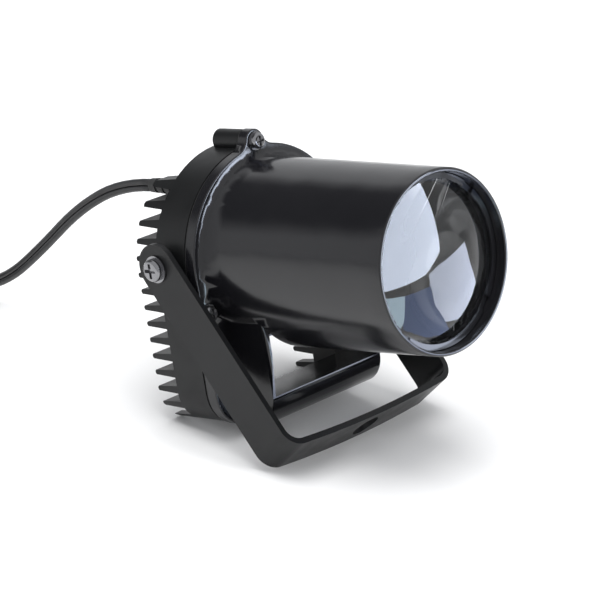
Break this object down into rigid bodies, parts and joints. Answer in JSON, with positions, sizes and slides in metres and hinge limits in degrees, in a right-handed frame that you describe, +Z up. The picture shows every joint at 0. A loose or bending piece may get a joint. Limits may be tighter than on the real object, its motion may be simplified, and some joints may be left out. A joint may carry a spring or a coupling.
{
  "type": "led spotlight",
  "caption": "Small LED spotlight: round glossy barrel with a convex lens, finned heat-sink housing, U-shaped tilting yoke, flat cord and plug.",
  "frame": {"origin": "on the surface it stands on, under the middle of the lamp and its yoke, without the cord", "axes": "+Z up, +X the way the lamp points, +Y to the lamp's left"},
  "size_m": [0.289, 0.1363, 0.1088],
  "materials": {
    "cover_black": "glossy black moulding",
    "housing_black": "die-cast, satin black paint",
    "ring_black": "matt black",
    "seal_rubber": "dull black",
    "screw_chrome": "bright plated",
    "lens_glass": "clear, polished",
    "board_metal": "white solder mask on metal",
    "emitter_clear": "phosphor under a clear dome",
    "collimator_clear": "clear moulded acrylic",
    "board_green": "green solder mask",
    "component_dark": "dark",
    "relief_black": "matt black",
    "cord_black": "satin black, two cores side by side",
    "yoke_paint": "satin black paint on steel",
    "plug_black": "fine matt black",
    "blade_brass": "nickel-plated brass"
  },
  "bodies": {
    "yoke": {"yoke": "yoke_paint", "cord_coil": "cord_black", "plug_body": "plug_black", "plug_blades": "blade_brass"},
    "head": {"barrel_cover": "cover_black", "heatsink_housing": "housing_black", "flange_gasket": "seal_rubber", "flange_screws": "screw_chrome", "flange_washers": "screw_chrome", "lens": "lens_glass", "lens_seal": "seal_rubber", "lens_retaining_ring": "ring_black", "led_board": "board_metal", "led_emitter": "emitter_clear", "thermal_pad": "seal_rubber", "led_board_screws": "screw_chrome", "collimator": "collimator_clear", "collimator_holder": "ring_black", "driver_board": "board_green", "driver_board_screws": "screw_chrome", "driver_transformer": "component_dark", "driver_capacitors": "component_dark", "lead_wires": "cord_black", "cord_gland": "relief_black", "gland_nut": "relief_black", "strain_relief": "relief_black", "pivot_screws": "screw_chrome", "pivot_washers": "screw_chrome", "friction_washers": "seal_rubber", "cord_lead": "cord_black"}
  },
  "joints": [
    {"name": "head_tilt", "type": "hinge", "parent": "yoke", "child": "head", "pos_m": [-0.03502, 0, 0.05947], "axis": [0, 1, 0], "range_deg": [-275, 20], "deforming": ["cord_lead"]}
  ]
}
